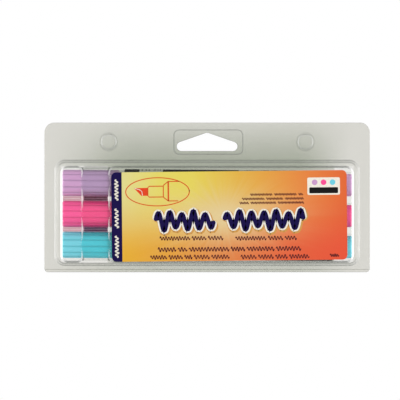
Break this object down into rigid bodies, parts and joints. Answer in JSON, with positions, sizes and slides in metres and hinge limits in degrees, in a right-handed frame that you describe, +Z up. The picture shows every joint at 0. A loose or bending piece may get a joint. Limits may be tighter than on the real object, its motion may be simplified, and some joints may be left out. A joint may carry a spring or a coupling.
{
  "type": "fabric marker set in a hinged clamshell pack",
  "caption": "Clear hinged clamshell pack with a hang hole, snap buttons and a printed front sticker, holding capped chisel-tip fabric markers side by side.",
  "frame": {"origin": "top of the hang hole, where a peg carries the pack, midway between the front and back flanges", "axes": "+X along the markers from cap to tail, +Z up as the pack hangs, and the pack's front faces -Y"},
  "size_m": [0.1694, 0.0175, 0.0779],
  "materials": {
    "clear_film": "clear thermoformed film with a faint green-grey cast",
    "label_stock": "coated printed sticker, yellow fading to red-orange with a navy strip",
    "barrel_plastic": "white moulded plastic with printed bands",
    "natural_plastic": "unpigmented moulded plastic",
    "purple_plastic": "satin moulded plastic",
    "purple_felt": "dense fibre soaked with ink",
    "pink_plastic": "satin moulded plastic",
    "pink_felt": "dense fibre soaked with ink",
    "cyan_plastic": "satin moulded plastic",
    "cyan_felt": "dense fibre soaked with ink"
  },
  "bodies": {
    "back_shell": {"back_shell": "clear_film", "living_hinge": "clear_film"},
    "front_shell": {"front_shell": "clear_film", "front_label": "label_stock"},
    "purple_marker": {"purple_barrel": "barrel_plastic", "purple_nib_holder": "barrel_plastic", "purple_nib": "purple_felt", "purple_ink_reservoir": "purple_felt", "purple_tail_plug": "purple_plastic"},
    "purple_cap": {"purple_cap": "purple_plastic", "purple_cap_liner": "natural_plastic"},
    "pink_marker": {"pink_barrel": "barrel_plastic", "pink_nib_holder": "barrel_plastic", "pink_nib": "pink_felt", "pink_ink_reservoir": "pink_felt", "pink_tail_plug": "pink_plastic"},
    "pink_cap": {"pink_cap": "pink_plastic", "pink_cap_liner": "natural_plastic"},
    "cyan_marker": {"cyan_barrel": "barrel_plastic", "cyan_nib_holder": "barrel_plastic", "cyan_nib": "cyan_felt", "cyan_ink_reservoir": "cyan_felt", "cyan_tail_plug": "cyan_plastic"},
    "cyan_cap": {"cyan_cap": "cyan_plastic", "cyan_cap_liner": "natural_plastic"}
  },
  "joints": [
    {"name": "lid_hinge", "type": "hinge", "parent": "back_shell", "child": "front_shell", "pos_m": [0, 0, -0.072], "axis": [1, 0, 0], "range_deg": [0, 180]},
    {"name": "purple_lift_out", "type": "slide", "parent": "back_shell", "child": "purple_marker", "axis": [0, -1, 0], "range_m": [0, 0.016]},
    {"name": "purple_cap_twist", "type": "hinge", "parent": "purple_marker", "child": "purple_cap", "pos_m": [0, -0.0082, -0.0266], "axis": [1, 0, -0.0079], "continuous": true},
    {"name": "pink_lift_out", "type": "slide", "parent": "back_shell", "child": "pink_marker", "axis": [0, -1, 0], "range_m": [0, 0.016]},
    {"name": "pink_cap_twist", "type": "hinge", "parent": "pink_marker", "child": "pink_cap", "pos_m": [0, -0.0082, -0.04265], "axis": [1, 0, -0.0079], "continuous": true},
    {"name": "cyan_lift_out", "type": "slide", "parent": "back_shell", "child": "cyan_marker", "axis": [0, -1, 0], "range_m": [0, 0.016]},
    {"name": "cyan_cap_twist", "type": "hinge", "parent": "cyan_marker", "child": "cyan_cap", "pos_m": [0, -0.0082, -0.0587], "axis": [1, 0, -0.0079], "continuous": true}
  ],
  "couplings": [
    {"joint": "purple_lift_out", "follows": "lid_hinge", "m_per_rad": 0.005092},
    {"joint": "pink_lift_out", "follows": "lid_hinge", "m_per_rad": 0.005092},
    {"joint": "cyan_lift_out", "follows": "lid_hinge", "m_per_rad": 0.005092}
  ]
}
